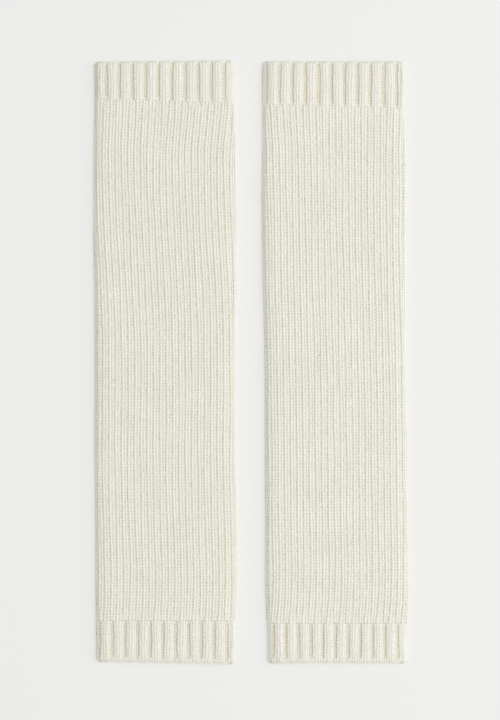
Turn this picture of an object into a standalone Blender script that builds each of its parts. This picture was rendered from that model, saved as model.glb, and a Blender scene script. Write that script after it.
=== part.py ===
"""A pair of rib-knit leg warmers lying flat side by side on a surface.

Each leg warmer is a knitted tube pressed flat, open at both ends. It has three pieces: a leg in a
close 1x1 rib and a cuff in a bold 2x2 rib at each end. Every piece is a hollow wall of cloth whose
top panel lies on its bottom panel. The ribs are raised in the outer surface, on the top and round
both side folds, and fade out on the underside, which rests flat.

Frame: +Z up, the surface at Z = 0, the length along Y, the origin under the middle of the pair.
Sizes are in millimetres and turned to metres where a mesh is made.
"""

import math
from collections import namedtuple

import bmesh
import bpy

MM = 0.001
COLLECTION_NAME = "leg_warmers"

# The middle of the pair's length of 520, measured up from its bottom hem, and the gap between
# pieces that meet at a join.
MIDDLE_ALONG = 259.24
SEAM_GAP = 0.3

# The cloth of the leg: height of the flattened tube, thickness of its bottom panel, the slit
# between the panels, the cloth's thickness in each side fold and the depth of the rib grooves.
LEG_HEIGHT = 7.0
BOTTOM_PANEL = 3.0
PANEL_SLIT = 0.4
FOLD_WALL = 3.2
LEG_GROOVE = 1.2

# Points across one rib: place across the rib from groove to groove, and share of the groove depth.
RibPoint = namedtuple("RibPoint", "place depth")
LEG_RIB = (
    RibPoint(place=0.0, depth=1.0),
    RibPoint(place=0.2, depth=0.4),
    RibPoint(place=0.4, depth=0.05),
    RibPoint(place=0.6, depth=0.05),
    RibPoint(place=0.8, depth=0.4),
)
CUFF_RIB = (
    RibPoint(place=0.07, depth=1.0),
    RibPoint(place=0.2, depth=0.25),
    RibPoint(place=0.38, depth=0.0),
    RibPoint(place=0.62, depth=0.0),
    RibPoint(place=0.8, depth=0.25),
    RibPoint(place=0.93, depth=1.0),
)

# Ribs given to each half of the tube, counted from the middle of the top to past the fold.
LEG_HALF_RIBS = 14
CUFF_HALF_RIBS = 7
UNDERSIDE_POINTS = 6

# A rib groove is at full depth where the cloth faces up, and gone where it faces this far down.
GROOVE_FULL_AT = 0.15
GROOVE_GONE_AT = -0.6

# One row for each section of a leg. along is the distance from the bottom hem, left and right are
# the side folds, measured from the leg warmer's centre line, groove is the middle rib groove, and
# slope is how far the section rises for each millimetre to the right.
LegSection = namedtuple("LegSection", "along left right groove slope")
LEFT_LEG = (
    LegSection(along=37.0, left=-59.9, right=60.9, groove=1.1, slope=0.0),
    LegSection(along=80.8, left=-60.3, right=62.5, groove=2.5, slope=0.0),
    LegSection(along=132.4, left=-60.6, right=62.2, groove=0.9, slope=0.0),
    LegSection(along=184.0, left=-61.1, right=61.1, groove=0.1, slope=0.0),
    LegSection(along=235.6, left=-60.9, right=60.6, groove=0.7, slope=0.0),
    LegSection(along=287.2, left=-61.0, right=61.2, groove=0.3, slope=0.0),
    LegSection(along=325.9, left=-61.2, right=61.9, groove=-1.1, slope=0.0),
    LegSection(along=364.6, left=-62.0, right=61.7, groove=-3.2, slope=-0.005),
    LegSection(along=403.3, left=-61.9, right=61.7, groove=-4.8, slope=-0.015),
    LegSection(along=442.0, left=-61.7, right=61.5, groove=-5.3, slope=-0.025),
    LegSection(along=484.4, left=-61.1, right=60.2, groove=-2.6, slope=-0.038),
)
RIGHT_LEG = (
    LegSection(along=34.8, left=-58.9, right=63.0, groove=3.0, slope=0.0),
    LegSection(along=80.8, left=-60.5, right=63.8, groove=5.1, slope=0.0),
    LegSection(along=132.4, left=-60.2, right=63.0, groove=4.3, slope=0.0),
    LegSection(along=184.0, left=-60.6, right=62.4, groove=4.0, slope=0.0),
    LegSection(along=235.6, left=-60.6, right=61.3, groove=3.4, slope=0.0),
    LegSection(along=287.2, left=-61.2, right=60.8, groove=2.6, slope=0.0),
    LegSection(along=325.9, left=-62.4, right=61.1, groove=1.6, slope=0.0),
    LegSection(along=364.6, left=-63.1, right=61.4, groove=0.9, slope=-0.005),
    LegSection(along=403.3, left=-63.3, right=61.9, groove=0.4, slope=-0.012),
    LegSection(along=442.0, left=-62.7, right=61.6, groove=0.2, slope=-0.02),
    LegSection(along=479.9, left=-62.9, right=59.4, groove=-0.5, slope=-0.028),
)

# One row for each section of a cuff, from its mouth to its join with the leg. from_mouth is the
# distance from the mouth, low and high are the outer surface, slit_low and slit_high the slit
# between the panels, groove the rib depth, and inset how far the side folds draw in.
CuffSection = namedtuple("CuffSection", "from_mouth low high slit_low slit_high groove inset")
CUFF_SECTIONS = (
    CuffSection(from_mouth=0.0, low=0.9, high=6.5, slit_low=2.4, slit_high=4.4, groove=0.5, inset=2.2),
    CuffSection(from_mouth=1.6, low=0.0, high=7.4, slit_low=2.7, slit_high=4.2, groove=1.1, inset=0.6),
    CuffSection(from_mouth=6.0, low=0.0, high=7.9, slit_low=3.0, slit_high=3.6, groove=2.0, inset=0.0),
    CuffSection(from_mouth=20.0, low=0.0, high=8.0, slit_low=3.0, slit_high=3.4, groove=2.3, inset=0.0),
    CuffSection(from_mouth=None, low=0.0, high=7.3, slit_low=3.0, slit_high=3.4, groove=1.6, inset=0.0),
)

# One row for each cuff. mouth and join are distances from the bottom hem at the centre line, with
# the slope of each, left and right are the folds at mouth and join, and first_groove and
# last_groove are the outermost of the ten grooves that show from above.
Cuff = namedtuple(
    "Cuff",
    "mouth mouth_slope join join_slope mouth_left mouth_right join_left join_right"
    " first_groove last_groove",
)
GROOVES_THAT_SHOW = 10
LEFT_TOP_CUFF = Cuff(
    mouth=518.6, mouth_slope=0.011, join=484.4 + SEAM_GAP, join_slope=-0.038,
    mouth_left=-61.8, mouth_right=60.2, join_left=-61.2, join_right=60.3,
    first_groove=-50.6, last_groove=51.0,
)
LEFT_BOTTOM_CUFF = Cuff(
    mouth=0.4, mouth_slope=-0.02, join=37.0 - SEAM_GAP, join_slope=0.0,
    mouth_left=-59.5, mouth_right=60.2, join_left=-59.9, join_right=60.7,
    first_groove=-45.4, last_groove=53.0,
)
RIGHT_TOP_CUFF = Cuff(
    mouth=518.4, mouth_slope=0.0, join=479.9 + SEAM_GAP, join_slope=-0.028,
    mouth_left=-62.8, mouth_right=60.0, join_left=-62.9, join_right=59.5,
    first_groove=-48.1, last_groove=52.8,
)
RIGHT_BOTTOM_CUFF = Cuff(
    mouth=0.2, mouth_slope=0.0, join=34.8 - SEAM_GAP, join_slope=0.0,
    mouth_left=-58.4, mouth_right=61.8, join_left=-58.8, join_right=63.0,
    first_groove=-53.1, last_groove=43.0,
)

# One row for each leg warmer: where its centre line lies, its leg sections, the pitch of its leg
# ribs and its cuffs.
Warmer = namedtuple("Warmer", "name centre leg rib_pitch top_cuff bottom_cuff")
WARMERS = (
    Warmer(
        name="left", centre=-74.2, leg=LEFT_LEG, rib_pitch=5.48,
        top_cuff=LEFT_TOP_CUFF, bottom_cuff=LEFT_BOTTOM_CUFF,
    ),
    Warmer(
        name="right", centre=72.2, leg=RIGHT_LEG, rib_pitch=5.36,
        top_cuff=RIGHT_TOP_CUFF, bottom_cuff=RIGHT_BOTTOM_CUFF,
    ),
)

# Colours, as linear red, green and blue.
LEG_COLOUR = (0.78, 0.75, 0.64)
CUFF_COLOUR = (0.76, 0.74, 0.65)
WOOL_ROUGHNESS = 0.95

# What one cross-section of a piece needs: its centre line place and slope along Y, its side folds,
# its outer and inner surfaces, its rib grid and its rib depth.
Section = namedtuple(
    "Section",
    "along slope left right low high slit_low slit_high first_rib pitch groove",
)


def mix(start, end, share):
    """The value that lies share of the way from start to end."""
    return start + (end - start) * share


def smooth_step(value, start, end):
    """0 before start, 1 after end and a soft curve between them."""
    share = min(max((value - start) / (end - start), 0.0), 1.0)
    return share * share * (3.0 - 2.0 * share)


class FlatTube:
    """The outline of a flattened tube: two straight panels joined by two half-round folds."""

    def __init__(self, left, right, low, high):
        self.middle = (left + right) / 2.0
        self.low = low
        self.radius = (high - low) / 2.0
        self.straight = (right - left) / 2.0 - self.radius
        self.fold = math.pi * self.radius
        self.half_round = 2.0 * self.straight + self.fold

    def point(self, arc):
        """(x, z, normal x, normal z) at arc, measured from the middle of the top, right positive."""
        side = math.copysign(1.0, arc)
        run = abs(arc)
        if run <= self.straight:
            return self.middle + arc, self.low + 2.0 * self.radius, 0.0, 1.0
        if run < self.straight + self.fold:
            angle = (run - self.straight) / self.radius
            x = self.middle + side * (self.straight + self.radius * math.sin(angle))
            z = self.low + self.radius * (1.0 + math.cos(angle))
            return x, z, side * math.sin(angle), math.cos(angle)
        x = self.middle + side * (2.0 * self.straight + self.fold - run)
        return x, self.low, 0.0, -1.0


def outer_arcs(section, tube, rib_shape, half_ribs):
    """(arc, rib depth share) of each outer point: all the ribs, then the plain underside."""
    arcs = []
    for rib in range(-half_ribs, half_ribs):
        for rib_point in rib_shape:
            arc = section.first_rib + (rib + rib_point.place) * section.pitch - tube.middle
            arcs.append((arc, rib_point.depth))
    start = arcs[-1][0]
    end = arcs[0][0] + 2.0 * tube.half_round
    for step in range(1, UNDERSIDE_POINTS + 1):
        arc = mix(start, end, step / (UNDERSIDE_POINTS + 1))
        if arc > tube.half_round:
            arc -= 2.0 * tube.half_round
        arcs.append((arc, 0.0))
    return arcs


def inner_arc(arc, outer, inner):
    """The arc on the slit that lies beside an arc on the outer surface."""
    flat = inner.straight
    run = abs(arc)
    if run <= flat:
        return arc
    far = outer.half_round - flat
    if run < far:
        share = (run - flat) / (far - flat)
        return math.copysign(mix(flat, inner.half_round - flat, share), arc)
    return math.copysign(inner.half_round - (outer.half_round - run), arc)


def inner_places(rib_shape, half_ribs):
    """The numbers of the outer points that have an inner point beside them: the middle point of
    each rib, then every point of the plain underside."""
    ribbed = 2 * half_ribs * len(rib_shape)
    middle_points = range(len(rib_shape) // 2, ribbed, len(rib_shape))
    return [*middle_points, *range(ribbed, ribbed + UNDERSIDE_POINTS)]


def section_rings(section, rib_shape, half_ribs):
    """The outer and inner ring of points, in metres, of one section of a piece."""
    outer_tube = FlatTube(section.left, section.right, section.low, section.high)
    inner_tube = FlatTube(
        section.left + FOLD_WALL, section.right - FOLD_WALL, section.slit_low, section.slit_high
    )
    outer = []
    inner = []
    arcs = outer_arcs(section, outer_tube, rib_shape, half_ribs)
    beside = set(inner_places(rib_shape, half_ribs))
    for number, (arc, depth) in enumerate(arcs):
        x, z, normal_x, normal_z = outer_tube.point(arc)
        groove = section.groove * depth * smooth_step(normal_z, GROOVE_GONE_AT, GROOVE_FULL_AT)
        x -= normal_x * groove
        z -= normal_z * groove
        outer.append((x * MM, (section.along + section.slope * x) * MM, z * MM))
        if number in beside:
            x, z, _, _ = inner_tube.point(inner_arc(arc, outer_tube, inner_tube))
            inner.append((x * MM, (section.along + section.slope * x) * MM, z * MM))
    return outer, inner


def close_end(mesh, outer, inner, places):
    """Close an open end with triangles between the outer ring and the inner one.

    places holds, for each inner point, the number of the outer point beside it. The outer points
    between two of them are shared out, the first half to one inner point and the rest to the next.
    """
    for number, place in enumerate(places):
        after = (number + 1) % len(places)
        steps = (places[after] - place) % len(outer)
        turn = (steps + 1) // 2
        for step in range(steps):
            here = outer[(place + step) % len(outer)]
            ahead = outer[(place + step + 1) % len(outer)]
            near = inner[number] if step < turn else inner[after]
            mesh.faces.new((here, ahead, near))
        mesh.faces.new((outer[(place + turn) % len(outer)], inner[after], inner[number]))


def join_rings(mesh, first, second):
    """A band of four-sided faces between two rings of equal counts."""
    count = len(first)
    for number in range(count):
        after = (number + 1) % count
        mesh.faces.new((first[number], first[after], second[after], second[number]))


def wool_material(name, colour):
    """A matt wool-blend material of one colour."""
    material = bpy.data.materials.new(name)
    material.use_nodes = True
    shader = material.node_tree.nodes["Principled BSDF"]
    shader.inputs["Base Color"].default_value = (*colour, 1.0)
    shader.inputs["Roughness"].default_value = WOOL_ROUGHNESS
    shader.inputs["Metallic"].default_value = 0.0
    material.diffuse_color = (*colour, 1.0)
    return material


def tube_piece(name, sections, rib_shape, half_ribs, colour, centre, parent, collection):
    """One knitted piece: a hollow wall lofted through its sections, with open ends."""
    mesh = bmesh.new()
    places = inner_places(rib_shape, half_ribs)
    outers = []
    inners = []
    for section in sections:
        outer, inner = section_rings(section, rib_shape, half_ribs)
        outers.append([mesh.verts.new(point) for point in outer])
        inners.append([mesh.verts.new(point) for point in inner])
    close_end(mesh, outers[0], inners[0], places)
    for number in range(len(sections) - 1):
        join_rings(mesh, outers[number], outers[number + 1])
        join_rings(mesh, inners[number], inners[number + 1])
    close_end(mesh, outers[-1], inners[-1], places)
    bmesh.ops.recalc_face_normals(mesh, faces=mesh.faces)
    data = bpy.data.meshes.new(name)
    mesh.to_mesh(data)
    mesh.free()
    data.shade_smooth()
    data.set_sharp_from_angle(angle=math.radians(50))
    data.materials.append(wool_material(f"{name}_wool", colour))
    piece = bpy.data.objects.new(name, data)
    piece.location = (centre * MM, -MIDDLE_ALONG * MM, 0.0)
    piece.parent = parent
    collection.objects.link(piece)
    return piece


def leg_sections(warmer):
    """The sections of a leg, from its bottom join to its top join."""
    slit_high = BOTTOM_PANEL + PANEL_SLIT
    return [
        Section(
            along=row.along, slope=row.slope, left=row.left, right=row.right,
            low=0.0, high=LEG_HEIGHT, slit_low=BOTTOM_PANEL, slit_high=slit_high,
            first_rib=row.groove, pitch=warmer.rib_pitch, groove=LEG_GROOVE,
        )
        for row in warmer.leg
    ]


def cuff_sections(cuff):
    """The sections of a cuff, from its mouth to its join with the leg."""
    depth = abs(cuff.join - cuff.mouth)
    pitch = (cuff.last_groove - cuff.first_groove) / (GROOVES_THAT_SHOW - 1)
    middle_groove = cuff.first_groove + GROOVES_THAT_SHOW // 2 * pitch
    sections = []
    for row in CUFF_SECTIONS:
        share = 1.0 if row.from_mouth is None else row.from_mouth / depth
        sections.append(
            Section(
                along=mix(cuff.mouth, cuff.join, share),
                slope=mix(cuff.mouth_slope, cuff.join_slope, share),
                left=mix(cuff.mouth_left, cuff.join_left, share) + row.inset,
                right=mix(cuff.mouth_right, cuff.join_right, share) - row.inset,
                low=row.low, high=row.high, slit_low=row.slit_low, slit_high=row.slit_high,
                first_rib=middle_groove, pitch=pitch, groove=row.groove,
            )
        )
    return sections


def build_warmer(warmer, collection):
    """The leg and the two cuffs of one leg warmer, under an empty at its centre line."""
    holder = bpy.data.objects.new(f"{warmer.name}_leg_warmer", None)
    collection.objects.link(holder)
    tube_piece(
        f"{warmer.name}_body", leg_sections(warmer), LEG_RIB, LEG_HALF_RIBS, LEG_COLOUR,
        warmer.centre, holder, collection,
    )
    cuffs = (("top", warmer.top_cuff), ("bottom", warmer.bottom_cuff))
    for place, cuff in cuffs:
        tube_piece(
            f"{warmer.name}_{place}_cuff", cuff_sections(cuff), CUFF_RIB, CUFF_HALF_RIBS,
            CUFF_COLOUR, warmer.centre, holder, collection,
        )


def main():
    for old in list(bpy.data.objects):
        bpy.data.objects.remove(old, do_unlink=True)
    collection = bpy.data.collections.new(COLLECTION_NAME)
    bpy.context.scene.collection.children.link(collection)
    for warmer in WARMERS:
        build_warmer(warmer, collection)


main()
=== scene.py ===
"""Dresses the pair of rib-knit leg warmers: every stitch of the knit, the yarn, the studio.

Each leg warmer is a knitted tube pressed flat. Its ground cloth is a thin two-sided shell with a
rounded fold at each side. On it lie the stitches, small bodies of yarn: a column of V stitches for
each leg rib, two columns for each cuff rib, bars across the grooves, a cast-off edge round each
mouth and a linked seam along the underside. All of it is laid out on one flat pattern, in ribs
across and millimetres along, and one function wraps that pattern round the tube. Sizes are in
millimetres where nothing else is said.
"""

import math
from collections import namedtuple

import bpy
import numpy as np
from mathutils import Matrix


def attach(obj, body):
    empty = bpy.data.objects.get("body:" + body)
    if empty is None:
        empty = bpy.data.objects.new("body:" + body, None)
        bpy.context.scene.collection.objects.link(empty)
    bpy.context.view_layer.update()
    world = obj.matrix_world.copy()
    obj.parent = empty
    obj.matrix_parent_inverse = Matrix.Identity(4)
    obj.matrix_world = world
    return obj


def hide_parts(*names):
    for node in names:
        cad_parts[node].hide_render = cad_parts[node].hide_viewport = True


bl_info = {
    "name": "Rib-knit leg warmers",
    "version": (1, 0, 0),
    "blender": (4, 5, 0),
    "location": "3D View > Sidebar > Leg warmers",
    "description": "Builds a pair of rib-knit leg warmers laid flat, stitch by stitch",
    "category": "Add Mesh",
}

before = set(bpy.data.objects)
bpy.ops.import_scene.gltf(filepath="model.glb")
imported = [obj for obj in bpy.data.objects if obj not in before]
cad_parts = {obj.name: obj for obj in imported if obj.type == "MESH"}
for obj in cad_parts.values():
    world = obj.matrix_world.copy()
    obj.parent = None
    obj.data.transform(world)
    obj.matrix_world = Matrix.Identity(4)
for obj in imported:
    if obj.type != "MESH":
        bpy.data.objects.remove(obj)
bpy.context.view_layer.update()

MM = 0.001
BODY = "root"
LEG_SLOT = "leg_knit"
CUFF_SLOT = "cuff_knit"
YARN = "soft_spun_wool_blend_yarn"

# The middle of the pair's length, measured up from the bottom hem, is Y = 0.
MIDDLE_ALONG = 259.24

# One row for each measured section of a leg warmer, from bottom mouth to top mouth. along is the
# distance from the bottom hem, left and right are the side folds from the leg warmer's centre
# line, groove is the rib groove nearest the middle, pitch is from one leg rib to the next, and
# slope is how far the section rises for each millimetre to the right.
Row = namedtuple("Row", "along left right groove pitch slope")
LEFT_ROWS = (
    Row(along=0.4, left=-59.5, right=60.2, groove=1.1, pitch=5.47, slope=-0.02),
    Row(along=20.0, left=-59.7, right=60.4, groove=1.1, pitch=5.47, slope=-0.01),
    Row(along=37.0, left=-59.9, right=60.9, groove=1.1, pitch=5.47, slope=0.0),
    Row(along=58.0, left=-60.2, right=62.1, groove=2.3, pitch=5.48, slope=0.0),
    Row(along=80.8, left=-60.3, right=62.5, groove=2.5, pitch=5.48, slope=0.0),
    Row(along=132.4, left=-60.6, right=62.2, groove=0.9, pitch=5.48, slope=0.0),
    Row(along=184.0, left=-61.1, right=61.1, groove=0.1, pitch=5.48, slope=0.0),
    Row(along=235.6, left=-60.9, right=60.6, groove=0.7, pitch=5.48, slope=0.0),
    Row(along=287.2, left=-61.0, right=61.2, groove=0.3, pitch=5.48, slope=0.0),
    Row(along=325.9, left=-61.2, right=61.9, groove=-1.1, pitch=5.48, slope=0.0),
    Row(along=364.6, left=-62.0, right=61.7, groove=-3.2, pitch=5.48, slope=-0.005),
    Row(along=403.3, left=-61.9, right=61.7, groove=-4.8, pitch=5.48, slope=-0.015),
    Row(along=442.0, left=-61.7, right=61.5, groove=-5.3, pitch=5.5, slope=-0.025),
    Row(along=484.4, left=-61.1, right=60.2, groove=-2.6, pitch=5.64, slope=-0.038),
    Row(along=502.0, left=-61.3, right=60.7, groove=-2.6, pitch=5.64, slope=-0.012),
    Row(along=518.6, left=-61.8, right=60.2, groove=-2.6, pitch=5.64, slope=0.011),
)
RIGHT_ROWS = (
    Row(along=0.2, left=-58.4, right=61.8, groove=3.0, pitch=5.34, slope=0.0),
    Row(along=20.0, left=-58.2, right=62.2, groove=3.0, pitch=5.34, slope=0.0),
    Row(along=34.8, left=-58.9, right=63.0, groove=3.0, pitch=5.34, slope=0.0),
    Row(along=56.0, left=-60.0, right=63.8, groove=4.6, pitch=5.36, slope=0.0),
    Row(along=80.8, left=-60.5, right=63.8, groove=5.1, pitch=5.36, slope=0.0),
    Row(along=132.4, left=-60.2, right=63.0, groove=4.3, pitch=5.36, slope=0.0),
    Row(along=184.0, left=-60.6, right=62.4, groove=4.0, pitch=5.36, slope=0.0),
    Row(along=235.6, left=-60.6, right=61.3, groove=3.4, pitch=5.36, slope=0.0),
    Row(along=287.2, left=-61.2, right=60.8, groove=2.6, pitch=5.36, slope=0.0),
    Row(along=325.9, left=-62.4, right=61.1, groove=1.6, pitch=5.36, slope=0.0),
    Row(along=364.6, left=-63.1, right=61.4, groove=0.9, pitch=5.36, slope=-0.005),
    Row(along=403.3, left=-63.3, right=61.9, groove=0.4, pitch=5.38, slope=-0.012),
    Row(along=442.0, left=-62.7, right=61.6, groove=0.2, pitch=5.42, slope=-0.02),
    Row(along=479.9, left=-62.9, right=59.4, groove=-0.5, pitch=5.6, slope=-0.028),
    Row(along=500.0, left=-63.1, right=60.2, groove=-0.5, pitch=5.6, slope=-0.012),
    Row(along=518.4, left=-62.8, right=60.0, groove=-0.5, pitch=5.6, slope=0.0),
)

# One row for each leg warmer: the X of its centre line, its measured rows, the two joins between
# leg and cuffs, measured from the bottom hem, and the seed of its random numbers.
Warmer = namedtuple("Warmer", "name centre rows bottom_join top_join seed")
WARMERS = (
    Warmer(name="left", centre=-74.2, rows=LEFT_ROWS, bottom_join=37.0, top_join=484.4, seed=11),
    Warmer(name="right", centre=72.2, rows=RIGHT_ROWS, bottom_join=34.8, top_join=479.9, seed=23),
)

# How the flattened tube's outer surface runs from a mouth into a cuff and on into the leg: low
# and high are its underside and top, and inset is how far its side folds draw in.
Edge = namedtuple("Edge", "from_mouth low high inset")
MOUTH_EDGE = (
    Edge(from_mouth=0.0, low=1.0, high=6.4, inset=2.0),
    Edge(from_mouth=0.7, low=0.45, high=7.0, inset=1.1),
    Edge(from_mouth=1.8, low=0.1, high=7.5, inset=0.5),
    Edge(from_mouth=4.0, low=0.0, high=7.8, inset=0.1),
    Edge(from_mouth=8.0, low=0.0, high=8.0, inset=0.0),
    Edge(from_mouth=26.0, low=0.0, high=8.0, inset=0.0),
    Edge(from_mouth=40.0, low=0.0, high=7.0, inset=0.0),
)

# Ribs in the whole tube, the leg ribs given to its top, which are two more than show, those given
# to its underside, and the cuff ribs, each as wide as two leg ribs.
RIBS_ROUND = 46
TOP_RIBS = range(-12, 12)
UNDER_RIBS = range(12, 34)
CUFF_RIBS = range(-12, 11)

# The ribs of a cuff sway sideways together, in waves along them. step is how far a wave moves on,
# in turns, from one rib place to the next, and the sway grows from the leg over SWAY_RUN.
Wave = namedtuple("Wave", "size length step")
CUFF_WAVES = (Wave(size=0.24, length=34.0, step=0.37), Wave(size=0.13, length=19.0, step=-0.61))
SWAY_RUN = 14.0


def linear(hex_colour):
    """The linear red, green, blue and alpha of an sRGB colour such as E8E5D8."""
    parts = [int(hex_colour[place : place + 2], 16) / 255.0 for place in (0, 2, 4)]
    values = [part / 12.92 if part <= 0.04045 else ((part + 0.055) / 1.055) ** 2.4 for part in parts]
    return (*values, 1.0)


def smooth_step(value, start, end):
    """0 before start, 1 after end and a soft curve between them, for arrays."""
    share = np.clip((value - start) / (end - start), 0.0, 1.0)
    return share * share * (3.0 - 2.0 * share)


class Tube:
    """One leg warmer as a flattened tube, and the flat knitting pattern wrapped round it."""

    # The measured curves are read at this spacing, run on past both mouths, and have their corners
    # rounded off over this many readings to each side.
    SAMPLE = 1.0
    PAST_MOUTH = 4.0
    SOFTEN = 9

    # A leg rib strays from its even place in slow waves. Their lengths and sizes are drawn at
    # random between these.
    WANDER_LENGTH = (70.0, 170.0)
    WANDER_SIZE = (0.08, 0.26)
    WANDER_WAVES = 2

    # The share of the relief that is left at the side folds, and the power that it fades with.
    FOLD_RELIEF = 0.3
    FOLD_POWER = 3

    # How far the top panel has dropped where a fold starts, and the run over which it drops.
    SHOULDER_DROP = 1.1
    SHOULDER_RUN = 7.0

    # How much more the left fold drops halfway down, how far its edge sags, as a share of the
    # fold's radius, and the least radius that the drops leave.
    LEFT_BEVEL = 1.0
    LEFT_SAG = 0.4
    THINNEST = 0.7

    def __init__(self, warmer):
        self.warmer = warmer
        self.bottom = warmer.rows[0].along
        self.top = warmer.rows[-1].along
        self.grid = np.arange(self.bottom - self.PAST_MOUTH, self.top + self.PAST_MOUTH, self.SAMPLE)
        along = [row.along for row in warmer.rows]
        self.curves = {}
        for name in ("left", "right", "groove", "pitch", "slope"):
            values = np.interp(self.grid, along, [getattr(row, name) for row in warmer.rows])
            self.curves[name] = self.soften(values)
        rng = np.random.default_rng(warmer.seed)
        waves = (RIBS_ROUND, self.WANDER_WAVES)
        self.wander_length = rng.uniform(*self.WANDER_LENGTH, size=waves)
        self.wander_start = rng.uniform(0.0, 2.0 * math.pi, size=waves)
        self.wander_size = rng.uniform(*self.WANDER_SIZE, size=waves)
        self.sway_start = rng.uniform(0.0, 1.0, size=len(CUFF_WAVES))

    def soften(self, values):
        """The measured curve with its corners rounded off."""
        padded = np.pad(values, self.SOFTEN, mode="edge")
        kernel = np.hanning(2 * self.SOFTEN + 3)[1:-1]
        return np.convolve(padded, kernel / kernel.sum(), mode="valid")

    def at(self, name, along):
        """The measured value called name at each distance along."""
        return np.interp(along, self.grid, self.curves[name])

    def section(self, along):
        """The middle, low, radius and half straight run of the outline at each distance along."""
        from_mouth = np.minimum(along - self.bottom, self.top - along)
        places = [edge.from_mouth for edge in MOUTH_EDGE]
        low, high, inset = (
            np.interp(from_mouth, places, [getattr(edge, name) for edge in MOUTH_EDGE])
            for name in ("low", "high", "inset")
        )
        left = self.at("left", along) + inset
        right = self.at("right", along) - inset
        radius = (high - low) / 2.0
        return (left + right) / 2.0, low, radius, (right - left) / 2.0 - radius

    def wander(self, rib, along):
        """How far a rib strays sideways from its even place."""
        number = np.asarray(rib).astype(int) % RIBS_ROUND
        stray = 0.0
        for wave in range(self.WANDER_WAVES):
            turn = 2.0 * math.pi * along / self.wander_length[number, wave]
            turn = turn + self.wander_start[number, wave]
            stray = stray + self.wander_size[number, wave] * np.sin(turn)
        return stray

    def sway(self, place, along):
        """How far a cuff's ribs stray sideways at a rib place, from none at the leg."""
        warmer = self.warmer
        from_leg = np.maximum(warmer.bottom_join - along, along - warmer.top_join)
        stray = 0.0
        for wave, start in zip(CUFF_WAVES, self.sway_start):
            turns = along / wave.length + wave.step * place + start
            stray = stray + wave.size * np.sin(2.0 * math.pi * turns)
        return smooth_step(from_leg, 0.0, SWAY_RUN) * stray

    def rib_arc(self, rib, along):
        """The arc from the top's middle to a rib place, even on top, spread to fit underneath."""
        middle, _, radius, straight = self.section(along)
        start = self.at("groove", along) - middle
        pitch = self.at("pitch", along)
        reach = straight + math.pi * radius
        last = (reach - start) / pitch
        first = (-reach - start) / pitch
        under_pitch = 2.0 * straight / (RIBS_ROUND - (last - first))
        arc = np.where(rib <= last, start + rib * pitch, reach + (rib - last) * under_pitch)
        return np.where(rib < first, -reach + (rib - first) * under_pitch, arc)

    def wrap(self, arc, along, lift, evened=True):
        """Points in metres for places on the pattern: arc across, along, and lift off the crest.

        angle is how far round a fold a point lies, and beyond how far past it on the underside.
        evened pulls the relief towards the crest at the folds, where the cloth is stretched, and
        lets the top panel slope down to them. The left fold slopes more and lies lower.
        """
        middle, low, radius, straight = self.section(along)
        half_round = 2.0 * straight + math.pi * radius
        arc = (arc + half_round) % (2.0 * half_round) - half_round
        side = np.sign(arc)
        run = np.abs(arc)
        angle = np.clip((run - straight) / radius, 0.0, math.pi)
        beyond = np.maximum(run - straight - math.pi * radius, 0.0)
        if evened:
            flatness = np.abs(np.cos(angle)) ** self.FOLD_POWER
            lift = lift * (self.FOLD_RELIEF + (1.0 - self.FOLD_RELIEF) * flatness)
            shoulder = smooth_step(run, straight - self.SHOULDER_RUN, straight)
            bevel = self.LEFT_BEVEL * np.sin(2.0 * angle) * (side < 0.0)
            drop = (self.SHOULDER_DROP * shoulder * np.cos(angle) + bevel) * (angle < math.pi / 2.0)
            lift = np.where(drop > 0.0, np.maximum(lift - drop, self.THINNEST - radius), lift)
        across = np.minimum(run, straight) - beyond + (radius + lift) * np.sin(angle)
        x = middle + side * across
        sag = self.LEFT_SAG * radius * np.sin(angle) ** 2 * (side < 0.0)
        z = low + radius + (radius + lift) * np.cos(angle) - sag
        y = along + self.at("slope", along) * x - MIDDLE_ALONG
        points = np.stack((x + self.warmer.centre, y, np.maximum(z, 0.0)), axis=-1)
        return points * MM


# The stations along a bead of yarn. place is the share of the way along it, and width is how full
# it is there, as a share of its fullest.
Station = namedtuple("Station", "place width")
FULL_BEAD = (Station(0.2, 0.86), Station(0.5, 1.0), Station(0.8, 0.84))
PLAIN_BEAD = (Station(0.28, 0.95), Station(0.72, 0.92))
SHORT_BEAD = (Station(0.5, 1.0),)

# A bead's direction at a station is read over this share of its length, to each side.
READ_SPAN = 0.04

# The four corners of a bead's section, as shares of its half width and half height.
SECTION_CORNERS = ((-1.0, -0.45), (-0.58, 0.85), (0.58, 0.85), (1.0, -0.45))


def bead_faces(rings):
    """The faces of one closed bead: a fan at each tip and bands of four-sided faces between."""
    corners = len(SECTION_CORNERS)
    last = 1 + rings * corners
    faces = []
    for corner in range(corners):
        after = (corner + 1) % corners
        faces.append((0, 1 + after, 1 + corner))
        for ring in range(rings - 1):
            start = 1 + ring * corners
            ahead = start + corners
            faces.append((start + corner, start + after, ahead + after, ahead + corner))
        start = 1 + (rings - 1) * corners
        faces.append((last, start + corner, start + after))
    return faces


def bead_batch(path, stations, half_width, half_height):
    """The pattern places of many like beads at once, and how many stations each has.

    path(share) gives (across, along, lift) arrays for a share of the way along every bead.
    """
    columns = [path(0.0)]
    for station in stations:
        across, along, lift = path(station.place)
        ahead = path(station.place + READ_SPAN)
        behind = path(station.place - READ_SPAN)
        run_across = ahead[0] - behind[0]
        run_along = ahead[1] - behind[1]
        length = np.hypot(run_across, run_along)
        for wide, tall in SECTION_CORNERS:
            offset = wide * station.width * half_width / length
            across_there = across + offset * run_along
            along_there = along - offset * run_across
            columns.append((across_there, along_there, lift + tall * station.width * half_height))
    columns.append(path(1.0))
    return [np.stack(values, axis=-1) for values in zip(*columns)], len(stations)


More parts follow.
